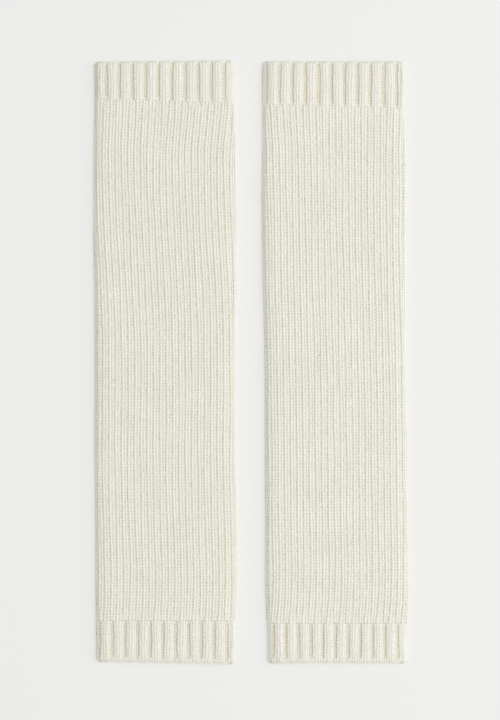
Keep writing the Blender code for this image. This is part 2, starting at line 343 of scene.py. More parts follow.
def joined_faces(template, size, count):
    """The faces of count copies of a template, as arrays grouped by corner count."""
    groups = []
    for corners in (3, 4):
        chosen = np.array([face for face in template if len(face) == corners], dtype=np.int64)
        if len(chosen):
            shifted = chosen[None, :, :] + np.arange(count)[:, None, None] * size
            groups.append(shifted.reshape(-1, corners))
    return groups


def new_piece(name, points, depths, face_groups, material, slot):
    """A smooth piece of cloth or yarn from arrays of points, their depths under the crest, and faces."""
    mesh = bpy.data.meshes.new(name)
    totals = np.concatenate([np.full(len(group), group.shape[1]) for group in face_groups])
    corners = np.concatenate([group.ravel() for group in face_groups])
    mesh.vertices.add(len(points))
    mesh.vertices.foreach_set("co", np.ascontiguousarray(points, dtype=np.float32).ravel())
    # The depth under the crest, by which the yarn's material paints shade into the grooves.
    depth = mesh.attributes.new("depth", "FLOAT", "POINT")
    depth.data.foreach_set("value", depths.astype(np.float32).ravel())
    mesh.loops.add(len(corners))
    mesh.loops.foreach_set("vertex_index", corners.astype(np.int32))
    mesh.polygons.add(len(totals))
    starts = np.concatenate(([0], np.cumsum(totals)[:-1]))
    mesh.polygons.foreach_set("loop_start", starts.astype(np.int32))
    mesh.update(calc_edges=True)
    if mesh.validate():
        raise RuntimeError(f"{name} has faces that don't hold together")
    mesh.shade_smooth()
    mesh.materials.append(material)
    piece = bpy.data.objects.new(name, mesh)
    bpy.context.scene.collection.objects.link(piece)
    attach(piece, BODY)
    return piece


def yarn_piece(name, tube, batches, material, slot):
    """One piece of the beads in many batches from bead_batch."""
    points = []
    depths = []
    faces = []
    base = 0
    for (arc, along, lift), stations in batches:
        count, size = arc.shape
        points.append(tube.wrap(arc, along, lift).reshape(-1, 3))
        depths.append(-lift.ravel())
        for group in joined_faces(bead_faces(stations), size, count):
            faces.append(group + base)
        base += count * size
    return new_piece(name, np.concatenate(points), np.concatenate(depths), faces, material, slot)


def add_node(tree, kind, settings=None, inputs=None, links=None):
    """A shader node with its settings, socket values and links from other nodes' outputs."""
    node = tree.nodes.new(kind)
    for name, value in (settings or {}).items():
        setattr(node, name, value)
    for name, value in (inputs or {}).items():
        node.inputs[name].default_value = value
    for name, output in (links or {}).items():
        tree.links.new(output, node.inputs[name])
    return node


def stitch_grid(ribs, start, end, course):
    """Rib number and along of every stitch in a field, and the exact course that fills it."""
    courses = max(int(round((end - start) / course)), 1)
    exact = (end - start) / courses
    rib, row = np.meshgrid(np.array(list(ribs), dtype=float), np.arange(courses), indexing="ij")
    return rib.ravel(), start + row.ravel() * exact, exact


class KnitSizes(bpy.types.PropertyGroup):
    """Sizes of the knit that a maker would set on the machine."""

    leg_course: bpy.props.FloatProperty(
        name="Leg course",
        description="Height of one row of stitches in the leg",
        default=2.68 * MM, min=1.5 * MM, max=6.0 * MM, precision=5, subtype="DISTANCE", unit="LENGTH",
    )
    cuff_course: bpy.props.FloatProperty(
        name="Cuff course",
        description="Height of one row of stitches in the cuffs",
        default=2.55 * MM, min=1.5 * MM, max=6.0 * MM, precision=5, subtype="DISTANCE", unit="LENGTH",
    )
    yarn_width: bpy.props.FloatProperty(
        name="Yarn width",
        description="Width of the yarn where it lies in a stitch",
        default=1.95 * MM, min=0.8 * MM, max=4.0 * MM, precision=5, subtype="DISTANCE", unit="LENGTH",
    )
    leg_relief: bpy.props.FloatProperty(
        name="Leg rib relief",
        description="Height of a leg rib above its grooves",
        default=0.55 * MM, min=0.0, max=2.5 * MM, precision=5, subtype="DISTANCE", unit="LENGTH",
    )
    cuff_relief: bpy.props.FloatProperty(
        name="Cuff rib relief",
        description="Height of a cuff rib above its grooves",
        default=0.92 * MM, min=0.0, max=3.0 * MM, precision=5, subtype="DISTANCE", unit="LENGTH",
    )
    unevenness: bpy.props.FloatProperty(
        name="Unevenness",
        description="How much one stitch differs from the next, as a share of its size",
        default=0.09, min=0.0, max=0.3, subtype="FACTOR",
    )


class KnitColours(bpy.types.PropertyGroup):
    """Colours of the yarn, of the shade painted deep in its grooves, and of the surface that the pair
    lies on.
    """

    yarn: bpy.props.FloatVectorProperty(
        name="Yarn",
        description="Main colour of the undyed yarn",
        default=linear("F9F8ED")[:3], size=3, min=0.0, max=1.0, subtype="COLOR",
    )
    yarn_shade: bpy.props.FloatVectorProperty(
        name="Yarn shade",
        description="Darker fibres in the yarn",
        default=linear("F3F0E2")[:3], size=3, min=0.0, max=1.0, subtype="COLOR",
    )
    # Painted shade: a warmer, darker cream that the material paints on the yarn deep in the grooves,
    # standing in for the light that passes from fibre to fibre there.
    painted_groove_shade: bpy.props.FloatVectorProperty(
        name="Yarn in the grooves",
        description="Colour that the yarn takes in deep grooves, where light passes from fibre to fibre",
        default=linear("F1E8D1")[:3], size=3, min=0.0, max=1.0, subtype="COLOR",
    )
    surface: bpy.props.FloatVectorProperty(
        name="Surface",
        description="Colour of the floor under the pair",
        default=linear("B3B3B1")[:3], size=3, min=0.0, max=1.0, subtype="COLOR",
    )


# Patterns of the yarn. Fibres are 0.02 mm thick, so their streaks are drawn coarser, 1.4 to the
# millimetre, to show. They are nearly three times as long along the leg, as the yarn mostly runs.
# Clouds of tone, from uneven spinning, are 18 mm across and count CLOUD_SHARE as much.
FIBRE_STREAKS = 1.4 / MM
STREAK_SHAPE = (1.0, 0.35, 1.0)
TONE_CLOUDS = 0.055 / MM
CLOUD_SHARE = 0.5
FIBRE_RELIEF = 0.3 * MM

# The depths under the crest between which the painted shade of the grooves comes in, from none to full.
PAINTED_SHADE_FROM = 1.4
PAINTED_SHADE_TO = 2.4


def wool_yarn(colours):
    """Soft-spun wool blend yarn, undyed.

    It is matt with a pale halo at grazing angles from loose fibres, its fibres show as fine
    streaks of two creams, and they roughen the surface. Deep in the grooves it is painted
    warmer and darker, a painted shade for the light that passes from fibre to fibre there.
    """
    if YARN in bpy.data.materials:
        return bpy.data.materials[YARN]
    material = bpy.data.materials.new(YARN)
    material.use_nodes = True
    tree = material.node_tree
    shader = tree.nodes["Principled BSDF"]
    shader.inputs["Roughness"].default_value = 0.92
    shader.inputs["Specular IOR Level"].default_value = 0.25
    shader.inputs["Sheen Weight"].default_value = 0.12
    shader.inputs["Sheen Roughness"].default_value = 0.55
    shader.inputs["Sheen Tint"].default_value = linear("FBF8EE")
    place = add_node(tree, "ShaderNodeTexCoord")
    streaks = add_node(
        tree, "ShaderNodeMapping", inputs={"Scale": STREAK_SHAPE},
        links={"Vector": place.outputs["Object"]},
    )
    fibre = add_node(
        tree, "ShaderNodeTexNoise", inputs={"Scale": FIBRE_STREAKS, "Detail": 4.0, "Roughness": 0.65},
        links={"Vector": streaks.outputs["Vector"]},
    )
    cloud = add_node(
        tree, "ShaderNodeTexNoise", inputs={"Scale": TONE_CLOUDS, "Detail": 3.0, "Roughness": 0.6},
        links={"Vector": place.outputs["Object"]},
    )
    blend = add_node(
        tree, "ShaderNodeMath", settings={"operation": "MULTIPLY_ADD"},
        inputs={1: CLOUD_SHARE}, links={0: cloud.outputs["Fac"], 2: fibre.outputs["Fac"]},
    )
    share = add_node(
        tree, "ShaderNodeMapRange", inputs={"From Min": 0.55, "From Max": 1.0},
        links={"Value": blend.outputs["Value"]},
    )
    colour = add_node(
        tree, "ShaderNodeMix", settings={"data_type": "RGBA"},
        inputs={6: (*colours.yarn, 1.0), 7: (*colours.yarn_shade, 1.0)},
        links={0: share.outputs["Result"]},
    )
    # Painted shade: the depth under the crest blends in the warmer, darker groove colour.
    depth = add_node(tree, "ShaderNodeAttribute", settings={"attribute_name": "depth"})
    deep = add_node(
        tree, "ShaderNodeMapRange", inputs={"From Min": PAINTED_SHADE_FROM, "From Max": PAINTED_SHADE_TO},
        links={"Value": depth.outputs["Fac"]},
    )
    painted_shade_mix = add_node(
        tree, "ShaderNodeMix", settings={"data_type": "RGBA"},
        inputs={7: (*colours.painted_groove_shade, 1.0)},
        links={0: deep.outputs["Result"], 6: colour.outputs[2]},
    )
    tree.links.new(painted_shade_mix.outputs[2], shader.inputs["Base Color"])
    bump = add_node(
        tree, "ShaderNodeBump", inputs={"Strength": 0.35, "Distance": FIBRE_RELIEF},
        links={"Height": fibre.outputs["Fac"]},
    )
    tree.links.new(bump.outputs["Normal"], shader.inputs["Normal"])
    return material


# How long a V stitch is, and how far it starts below its row, both in courses.
STITCH_LENGTH = 1.5
STITCH_START = 0.25

# The lie of a V stitch in the leg: how far its foot and its tip stand from the rib's middle, for
# ribs at this pitch, and how much wider than plain yarn it lies.
LEG_PITCH = 5.48
LEG_FOOT = 0.56
LEG_TIP = 2.06
LEG_WIDER = 1.14

# How unevenly the leg's stitches lean, shift along the rib and rise.
LEG_LEAN = 0.1
LEG_SHIFT = 0.1
LEG_RAISE = 0.09

# The bar across a leg groove: its place in its course, how deep it lies, half its span, its
# width, height and dive as shares of a stitch's, and how unevenly it shifts.
BAR_PLACE = 0.6
BAR_DROP = 0.46
BAR_HALF_SPAN = 1.5
BAR_WIDTH = 0.95
BAR_HEIGHT = 0.8
BAR_DIVE = 0.3
BAR_SHIFT = 0.12

# How far both ends of a bead of yarn dive under its neighbours, and how late in its length.
END_DIVE = 0.65
DIVE_POWER = 3.0

# The groove at the left of cuff rib 0 lies at this leg rib place.
CUFF_GROOVE = -0.5

# A cuff rib has two columns of V stitches, each this far from the rib's middle. Feet and tips are
# measured from the column's middle. The yarn lies wider and flatter than plain yarn and dives less.
CUFF_COLUMN = 2.5
CUFF_FOOT = 0.7
CUFF_TIP = 1.8
CUFF_WIDER = 1.28
CUFF_FLATTER = 0.7
CUFF_DIVE = 0.35
CUFF_LEAN = 0.08
CUFF_SHIFT = 0.08

# The round of a cuff rib: half its width, the power that it falls to the sides with, and the dip
# between its two columns.
CUFF_HALF_RIB = 5.2
CUFF_POWER = 3.0
CUFF_DIP = 0.12

# The bars on the floor of a cuff groove, in the same terms as those of the leg.
CUFF_BAR_PLACE = 0.5
CUFF_BAR_DROP = 1.1
CUFF_BAR_HALF_SPAN = 1.7
CUFF_BAR_WIDTH = 0.85
CUFF_BAR_HEIGHT = 0.6
CUFF_BAR_DIVE = 0.4
CUFF_BAR_SHIFT = 0.1

# Shares of the yarn's width that give a bead's half width and half height.
HALF_WIDE = 0.49
HALF_TALL = 0.43

# Near a cuff, every other leg rib rises out of a cuff groove, narrow and deep at first, and the
# ones between grow out of a cuff rib, wider at first, where its two columns draw together.
# WIDEST_SPREAD is the most that their yarn widens with them.
JOIN_STRETCH = 8.0
JOIN_SINK = 0.25
JOIN_START_SINK = 0.8
JOIN_NARROW = 0.2
JOIN_WIDEN = 0.28
JOIN_DRAW_IN = 0.16
WIDEST_SPREAD = 1.15


def dive(share):
    """How far a bead's path lies below its middle, from none at the middle to most at the tips."""
    return END_DIVE * abs(2.0 * share - 1.0) ** DIVE_POWER


def near_join(warmer, along):
    """1 at a join between leg and cuff, 0 further off than the stretch that it shapes."""
    distance = np.minimum(along - warmer.bottom_join, warmer.top_join - along)
    return 1.0 - smooth_step(distance, 0.0, JOIN_STRETCH)


def leg_stitches(tube, sizes, ribs, stations, rng):
    """Both halves of every V stitch in these ribs of the leg.

    The odd ribs have one stitch more at each end, which starts inside the cuff.
    """
    warmer = tube.warmer
    rib, start, course = stitch_grid(ribs, warmer.bottom_join, warmer.top_join, sizes.leg_course / MM)
    rising = np.array([number for number in ribs if number % 2], dtype=float)
    rib = np.concatenate((rib, rising, rising))
    ends = (warmer.bottom_join - course, warmer.top_join)
    start = np.concatenate((start, np.repeat(ends, len(rising))))
    count = len(rib)
    near = near_join(warmer, start)
    odd = rib % 2
    spread = 1.0 + near * np.where(odd > 0.0, -JOIN_NARROW, JOIN_WIDEN)
    inside_cuff = np.arange(count) >= count - 2 * len(rising)
    sunk = JOIN_SINK * near * odd + JOIN_START_SINK * inside_cuff
    width = sizes.yarn_width / MM
    relief = sizes.leg_relief / MM
    batches = []
    for side in (-1.0, 1.0):
        size = 1.0 + rng.normal(0.0, sizes.unevenness, count)
        lean = rng.normal(0.0, LEG_LEAN, count)
        shift = rng.normal(0.0, LEG_SHIFT, count)
        raised = rng.normal(0.0, LEG_RAISE, count)

        def path(share):
            reach = (LEG_FOOT + (LEG_TIP - LEG_FOOT) * share + lean * (share - 0.5)) * spread
            along = start + (share * STITCH_LENGTH - STITCH_START) * course + shift
            scale = tube.at("pitch", along) / LEG_PITCH
            centre = tube.rib_arc(rib + 0.5, along) + tube.wander(rib, along)
            fall = relief * (reach / (LEG_PITCH / 2.0)) ** 2
            lift = raised - HALF_TALL * width - dive(share) - fall - sunk
            return centre + side * reach * scale, along, lift

        half_width = LEG_WIDER * HALF_WIDE * width * size * np.minimum(spread, WIDEST_SPREAD)
        batches.append(bead_batch(path, stations, half_width, HALF_TALL * width * size))
    return batches


def leg_bars(tube, sizes, rng):
    """The bar of yarn that crosses each groove of the leg's top at every course."""
    warmer = tube.warmer
    course = sizes.leg_course / MM
    rib, start, course = stitch_grid(TOP_RIBS, warmer.bottom_join, warmer.top_join, course)
    width = sizes.yarn_width / MM
    shift = rng.normal(0.0, BAR_SHIFT, len(rib))
    near = near_join(warmer, start)

    def path(share):
        along = start + BAR_PLACE * course + shift
        centre = tube.rib_arc(rib, along) + tube.wander(rib, along)
        lift = -BAR_DROP - HALF_TALL * width - BAR_DIVE * dive(share) - JOIN_SINK * near
        return centre + (share - 0.5) * 2.0 * BAR_HALF_SPAN, along, lift

    half_width = BAR_WIDTH * HALF_WIDE * width
    return [bead_batch(path, SHORT_BEAD, half_width, BAR_HEIGHT * HALF_TALL * width)]


def cuff_fall(across, relief):
    """How far a cuff rib's surface lies below its crest at a distance from the rib's middle."""
    outward = np.abs(across) / CUFF_HALF_RIB
    return relief * outward**CUFF_POWER + CUFF_DIP * (1.0 - outward)


# A cuff's stitches run from start to end, clear of the mouth, which is the tube's edge. inward is
# 1 or -1 along the leg, and lowered is how far the cast-off loops lie under the crest.
Cuff = namedtuple("Cuff", "name start end mouth inward lowered")
HEM_CLEAR = 1.5
HEM_LOWERED = 0.8
BIND_OFF_CLEAR = 0.8
BIND_OFF_LOWERED = 0.7


def cuffs_of(tube):
    """The cuff at the bottom hem, where knitting began, and the one at the top mouth."""
    start = tube.bottom + HEM_CLEAR
    end = tube.top - BIND_OFF_CLEAR
    return (
        Cuff("bottom_cuff", start, tube.warmer.bottom_join, tube.bottom, 1.0, HEM_LOWERED),
        Cuff("top_cuff", tube.warmer.top_join, end, tube.top, -1.0, BIND_OFF_LOWERED),
    )


def cuff_stitches(tube, sizes, cuff, rng):
    """Both halves of every V stitch of a cuff, two columns to a rib."""
    rib, base, course = stitch_grid(CUFF_RIBS, cuff.start, cuff.end, sizes.cuff_course / MM)
    count = len(rib)
    middle = 2.0 * rib + CUFF_GROOVE + 1.0
    width = sizes.yarn_width / MM
    relief = sizes.cuff_relief / MM
    drawn_in = 1.0 - JOIN_DRAW_IN * near_join(tube.warmer, base)
    batches = []
    for column in (-1.0, 1.0):
        for side in (-1.0, 1.0):
            size = 1.0 + rng.normal(0.0, sizes.unevenness, count)
            lean = rng.normal(0.0, CUFF_LEAN, count)
            shift = rng.normal(0.0, CUFF_SHIFT, count)

            def path(share):
                reach = CUFF_FOOT + (CUFF_TIP - CUFF_FOOT) * share + lean * (share - 0.5)
                along = base + (share * STITCH_LENGTH - STITCH_START) * course + shift
                scale = tube.at("pitch", along) / LEG_PITCH * drawn_in
                across = column * CUFF_COLUMN + side * reach
                stray = tube.wander(2 * rib, along) + tube.sway(middle + across / LEG_PITCH, along)
                lift = -HALF_TALL * width - CUFF_DIVE * dive(share) - cuff_fall(across, relief)
                return tube.rib_arc(middle, along) + stray + across * scale, along, lift

            half_width = CUFF_WIDER * HALF_WIDE * width * size
            half_height = CUFF_FLATTER * HALF_TALL * width * size
            batches.append(bead_batch(path, FULL_BEAD, half_width, half_height))
    return batches


def cuff_bars(tube, sizes, cuff, rng):
    """The bars of yarn across the floor of each cuff groove."""
    rib, base, course = stitch_grid(CUFF_RIBS, cuff.start, cuff.end, sizes.cuff_course / MM)
    groove = 2.0 * rib + CUFF_GROOVE
    width = sizes.yarn_width / MM
    shift = rng.normal(0.0, CUFF_BAR_SHIFT, len(rib))

    def path(share):
        along = base + CUFF_BAR_PLACE * course + shift
        centre = tube.rib_arc(groove, along) + tube.wander(2 * rib, along) + tube.sway(groove, along)
        lift = -CUFF_BAR_DROP - HALF_TALL * width - CUFF_BAR_DIVE * dive(share)
        return centre + (share - 0.5) * 2.0 * CUFF_BAR_HALF_SPAN, along, np.full(len(rib), lift)

    half_width = CUFF_BAR_WIDTH * HALF_WIDE * width
    return [bead_batch(path, PLAIN_BEAD, half_width, CUFF_BAR_HEIGHT * HALF_TALL * width)]


# The cast-off edge round a mouth: one loop along the lip for each needle. LOOP_PLACES are the
# loops' distances from the rib's middle, LOOP_REACH is how far in from the mouth they lie, and
# LOOP_BOW how far they bow out towards it.
LOOP_PLACES = (-4.11, -1.37, 1.37, 4.11)
LOOP_HALF_SPAN = 1.5
LOOP_REACH = 1.35
LOOP_BOW = 0.2
LOOP_WIDER = 1.35
LOOP_DIVE = 0.6
LOOP_SHIFT = 0.1


def edge_loops(tube, sizes, cuff, rng):
    """The loops of the cast-off edge round one mouth, each lying along the lip."""
    width = sizes.yarn_width / MM
    relief = sizes.cuff_relief / MM
    numbers = np.array(CUFF_RIBS, dtype=float)
    rib, place = (values.ravel() for values in np.meshgrid(numbers, LOOP_PLACES, indexing="ij"))
    size = 1.0 + rng.normal(0.0, sizes.unevenness, len(rib))
    shift = rng.normal(0.0, LOOP_SHIFT, len(rib))

    def path(share):
        bow = 1.0 - (2.0 * share - 1.0) ** 2
        along = cuff.mouth + cuff.inward * (LOOP_REACH - LOOP_BOW * bow) * np.ones(len(rib))
        scale = tube.at("pitch", along) / LEG_PITCH
        centre = tube.rib_arc(2.0 * rib + CUFF_GROOVE + 1.0, along) + tube.wander(2 * rib, along)
        across = place + shift + (share - 0.5) * 2.0 * LOOP_HALF_SPAN
        lift = -HALF_TALL * width - cuff.lowered - LOOP_DIVE * dive(share) - cuff_fall(place, relief)
        return centre + across * scale, along, lift

    half_width = LOOP_WIDER * HALF_WIDE * width * size
    return [bead_batch(path, FULL_BEAD, half_width, HALF_TALL * width * size)]


# The cast-on at the bottom hem closes the cuff grooves with strands along the leg, at these rib
# places from the middle of a groove. The strands start HEM_START in from the mouth, are HEM_BAND
# long, and vary in start, length and height.
HEM_STRANDS = (-0.24, 0.0, 0.24)
HEM_START = 0.5
HEM_BAND = 5.4
HEM_WIDTH = 0.95
HEM_DROP = 0.55
HEM_SHIFT = 0.1
HEM_STRETCH = 0.25
HEM_RAISE = 0.06


def hem_strands(tube, sizes, rng):
    """The close strands of the cast-on that close the grooves above the bottom hem."""
    groove = 2.0 * np.array(CUFF_RIBS, dtype=float) + CUFF_GROOVE
    place = (groove[:, None] + HEM_STRANDS).ravel()
    start = tube.bottom + HEM_START + rng.normal(0.0, HEM_SHIFT, len(place))
    length = HEM_BAND + rng.normal(0.0, HEM_STRETCH, len(place))
    width = sizes.yarn_width / MM
    raised = rng.normal(0.0, HEM_RAISE, len(place))

    def path(share):
        along = start + length * share
        lift = raised - HALF_TALL * width - HEM_DROP - dive(share)
        return tube.rib_arc(place, along) + tube.sway(place, along), along, lift

    return [bead_batch(path, FULL_BEAD, HEM_WIDTH * HALF_WIDE * width, HALF_TALL * width)]


# The linked seam down the middle of the underside: a column of slanted loops, each longer than
# its spacing by SEAM_LONGER.
SEAM_SPACING = 2.74
SEAM_LONGER = 1.3
SEAM_HALF_SLANT = 1.3
SEAM_MARGIN = 3.0


def seam_loops(tube, sizes, rng):
    """The linked seam that closes the panel into a tube, down the middle of the underside."""
    width = sizes.yarn_width / MM
    length = tube.top - tube.bottom - 2.0 * SEAM_MARGIN
    count = int(round(length / SEAM_SPACING))
    base = tube.bottom + SEAM_MARGIN + (np.arange(count) + 0.5) * length / count
    size = 1.0 + rng.normal(0.0, sizes.unevenness, count)

    def path(share):
        along = base + (share - 0.5) * SEAM_SPACING * SEAM_LONGER
        _, _, radius, straight = tube.section(along)
        arc = 2.0 * straight + math.pi * radius + (share - 0.5) * 2.0 * SEAM_HALF_SLANT
        return arc, along, np.full(count, -HALF_TALL * width - dive(share))

    return [bead_batch(path, FULL_BEAD, HALF_WIDE * width * size, HALF_TALL * width * size)]


# The ground cloth under the stitches: how its outer face lies against the crest in the leg, in the
# cuffs and at the lip of a mouth.
GROUND_LEG_RIB = -0.62
GROUND_LEG_GROOVE = -1.45
GROUND_CUFF_RIB = -0.75
GROUND_CUFF_GROOVE = -2.05
GROUND_LIP = -1.05

# A cuff's ground cloth from one groove to the next: rib places from the groove's middle, and how it
# lies there.
CUFF_GROUND_PLACES = (-0.2, 0.2, 0.5, 1.5)
CUFF_GROUND_LIFTS = (GROUND_CUFF_GROOVE, GROUND_CUFF_GROOVE, GROUND_CUFF_RIB, GROUND_CUFF_RIB)

# Half the slit left between the two panels inside, and how much and how far in from a mouth it
# widens there.
SLIT_HALF = 0.3
MOUTH_SLIT = 0.55
MOUTH_SLIT_RUN = 4.0

# The longest step between two rings of the ground cloth, the gaps that it leaves at a mouth and at
# a cuff's join, and the angle above which its edges are sharp, as they are at its ends.
LEG_GROUND_STEP = 7.0
CUFF_GROUND_STEP = 2.0
MOUTH_GAP = 0.2
JOIN_GAP = 0.1
SHARP_ANGLE = math.radians(60.0)

# How far from the mouths the grooves run out: into a smooth band at the bottom hem, and right at
# the edge at the top.
HEM_RUN = 7.0
BIND_OFF_RUN = 2.0

# One stretch of ground cloth stands for one solid, node. sink is how far it drops, next to a cuff,
# under the leg ribs that rise there, and yarn names the pieces of stitches that lie on it.
Stretch = namedtuple("Stretch", "node start end places lifts sink step slot yarn")


def ground_stretches(tube):
    """The leg's stretch of ground cloth and those of its two cuffs."""
    warmer = tube.warmer
    leg_places = np.arange(-RIBS_ROUND, RIBS_ROUND) / 2.0
    leg = Stretch(
        node="body",
        start=warmer.bottom_join,
        end=warmer.top_join,
        places=leg_places,
        lifts=np.where(leg_places % 1.0 == 0.0, GROUND_LEG_GROOVE, GROUND_LEG_RIB),
        sink=JOIN_SINK,
        step=LEG_GROUND_STEP,
        slot=LEG_SLOT,
        yarn=("body_stitches", "body_under_stitches", "body_groove_bars", "linked_seam"),
    )
    grooves = np.arange(len(CUFF_RIBS)) * 2.0 + CUFF_GROOVE - RIBS_ROUND // 2 + 1
    cuff = leg._replace(
        places=(grooves[:, None] + CUFF_GROUND_PLACES).ravel(),
        lifts=np.tile(CUFF_GROUND_LIFTS, len(CUFF_RIBS)),
        sink=0.0,
        step=CUFF_GROUND_STEP,
        slot=CUFF_SLOT,
    )
    start = tube.bottom + MOUTH_GAP
    end = warmer.bottom_join - JOIN_GAP
    bottom = cuff._replace(node="bottom_cuff", start=start, end=end, yarn=("bottom_cuff_stitches",))
    start = warmer.top_join + JOIN_GAP
    end = tube.top - MOUTH_GAP
    top = cuff._replace(node="top_cuff", start=start, end=end, yarn=("top_cuff_stitches",))
    return leg, bottom, top


def ground_rings(tube, stretch):
    """The outer and inner points of a stretch of ground cloth, one row a ring, and the lifts.

    odd is 1 in the middle of an odd leg rib, which sinks at a join, and 0 in that of an even one.
    """
    rows = int(math.ceil((stretch.end - stretch.start) / stretch.step)) + 1
    share = np.linspace(0.0, 1.0, rows)
    along = stretch.start + (stretch.end - stretch.start) * share
    along, place = np.meshgrid(along, stretch.places, indexing="ij")
    from_mouth = np.minimum(along - tube.bottom, tube.top - along)
    lip = smooth_step(from_mouth, 0.0, np.where(along < MIDDLE_ALONG, HEM_RUN, BIND_OFF_RUN))
    lift = GROUND_LIP + (stretch.lifts - GROUND_LIP) * lip
    odd = 1.0 - np.abs((place - 0.5) % 2.0 - 1.0)
    lift = lift - stretch.sink * near_join(tube.warmer, along) * odd
    arc = tube.rib_arc(place, along) + tube.sway(place, along)
    _, _, radius, _ = tube.section(along)
    slit = SLIT_HALF + MOUTH_SLIT * np.exp(-np.maximum(from_mouth, 0.0) / MOUTH_SLIT_RUN)
    return tube.wrap(arc, along, lift), tube.wrap(arc, along, slit - radius, evened=False), lift


def ground_cloth(name, rings, material, slot):
    """A stretch of the tube's wall: an outer and an inner face, closed at both ends."""
    outer, inner, lift = rings
    rows, round_count = outer.shape[:2]
    size = rows * round_count
    points = np.concatenate((outer.reshape(-1, 3), inner.reshape(-1, 3)))
    depths = np.tile(-lift.ravel(), 2)
    number = np.arange(size).reshape(rows, round_count)
    after = np.roll(number, -1, axis=1)
    skin = np.stack((number[:-1], after[:-1], after[1:], number[1:]), axis=-1).reshape(-1, 4)
    lining = skin[:, ::-1] + size
    first = np.stack((number[0], number[0] + size, after[0] + size, after[0]), axis=-1)
    last = np.stack((number[-1], after[-1], after[-1] + size, number[-1] + size), axis=-1)
    faces = [np.concatenate((skin, lining, first, last))]
    piece = new_piece(name, points, depths, faces, material, slot)
    piece.data.set_sharp_from_angle(angle=SHARP_ANGLE)
    return piece


def tube_round(tube, along):
    """The way round the tube's outer surface, in millimetres."""
    _, _, radius, straight = tube.section(along)
    return float(4.0 * straight + 2.0 * math.pi * radius)


def leg_warmers(seed_step):
    """Each leg warmer's name and tube, and the random numbers for one group of its pieces."""
    for warmer in WARMERS:
        yield warmer.name, Tube(warmer), np.random.default_rng(warmer.seed + seed_step)


class LEGWARMERS_OT_leg_stitches(bpy.types.Operator):
    """Lay the V stitches of both legs, and the bars in their grooves"""

    bl_idname = "legwarmers.leg_stitches"
    bl_label = "Leg stitches"

    def execute(self, context):
        sizes = context.scene.knit_sizes
        yarn = wool_yarn(context.scene.knit_colours)
        for name, tube, rng in leg_warmers(1):
            top = leg_stitches(tube, sizes, TOP_RIBS, FULL_BEAD, rng)
            under = leg_stitches(tube, sizes, UNDER_RIBS, PLAIN_BEAD, rng)
            bars = leg_bars(tube, sizes, rng)
            yarn_piece(f"{name}_body_stitches", tube, top, yarn, LEG_SLOT)
            yarn_piece(f"{name}_body_under_stitches", tube, under, yarn, LEG_SLOT)
            yarn_piece(f"{name}_body_groove_bars", tube, bars, yarn, LEG_SLOT)
        return {"FINISHED"}


class LEGWARMERS_OT_cuff_stitches(bpy.types.Operator):
    """Lay the stitches, the groove bars and the edges of all four cuffs"""

    bl_idname = "legwarmers.cuff_stitches"
    bl_label = "Cuff stitches"

    def execute(self, context):
        sizes = context.scene.knit_sizes
        yarn = wool_yarn(context.scene.knit_colours)
        for name, tube, rng in leg_warmers(2):
            for cuff in cuffs_of(tube):
                stitches = cuff_stitches(tube, sizes, cuff, rng)
                stitches += cuff_bars(tube, sizes, cuff, rng)
                stitches += edge_loops(tube, sizes, cuff, rng)
                if cuff.name == "bottom_cuff":
                    stitches += hem_strands(tube, sizes, rng)
                yarn_piece(f"{name}_{cuff.name}_stitches", tube, stitches, yarn, CUFF_SLOT)
        return {"FINISHED"}


class LEGWARMERS_OT_seams(bpy.types.Operator):
    """Link each panel into a tube along its underside"""

    bl_idname = "legwarmers.seams"
    bl_label = "Linked seams"

    def execute(self, context):
        sizes = context.scene.knit_sizes
        yarn = wool_yarn(context.scene.knit_colours)
        for name, tube, rng in leg_warmers(3):
            yarn_piece(f"{name}_linked_seam", tube, seam_loops(tube, sizes, rng), yarn, LEG_SLOT)
        return {"FINISHED"}


class LEGWARMERS_OT_cloth(bpy.types.Operator):
    """Build the ground cloth of both tubes, which stands for the solids and carries the stitches"""

    bl_idname = "legwarmers.cloth"
    bl_label = "Ground cloth"

    def execute(self, context):
        yarn = wool_yarn(context.scene.knit_colours)
        for warmer in WARMERS:
            tube = Tube(warmer)
            for stretch in ground_stretches(tube):
                node = f"{warmer.name}_{stretch.node}"
                cloth = ground_cloth(f"{node}_cloth", ground_rings(tube, stretch), yarn, stretch.slot)
                middle = (stretch.start + stretch.end) / 2.0
                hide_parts(node)
                tube_round(tube, middle) * MM
                [f"{warmer.name}_{piece}" for piece in stretch.yarn]
        return {"FINISHED"}


class StudioSettings(bpy.types.PropertyGroup):
    """The studio round the pair."""

    key_power: bpy.props.FloatProperty(
        name="Key light",
        description="Power of the broad lamp at the right",
        default=30.0, min=0.0, unit="POWER",
    )
    softbox_power: bpy.props.FloatProperty(
        name="Softbox",
        description="Power of the wide softbox overhead",
        default=25.0, min=0.0, unit="POWER",
    )
    sky: bpy.props.FloatProperty(
        name="Sky",
        description="Strength of the even light from all round",
        default=0.48, min=0.0,
    )
    table_glow: bpy.props.FloatProperty(
        name="Light table",
        description="How brightly the light table under the pair shines",
        default=0.435, min=0.0,
    )


# The lamps are broad squares, sized and placed in metres, that point at the pair.
Lamp = namedtuple("Lamp", "name power size place")
LAMPS = (
    Lamp(name="key_lamp", power="key_power", size=2.2, place=(2.6, 0.1, 1.7)),
    Lamp(name="softbox", power="softbox_power", size=2.4, place=(0.8, 0.1, 2.5)),
)
TABLE_SIZE = 8.0

# The camera hangs this many metres straight above the middle of the photograph's frame, which is
# 720 px high. The cloth's top, not the table, has the photograph's scale.
CAMERA_HEIGHT = 2.0
PHOTO_HEIGHT = 720
MM_PER_PX = 0.86
FRAME_HEIGHT = PHOTO_HEIGHT * MM_PER_PX * MM
FRAME_MIDDLE = (-0.9 * MM, 2.2 * MM)
CLOTH_TOP = 7.0 * MM
SENSOR = 36.0
CLIP_NEAR = 0.05
CLIP_FAR = 50.0


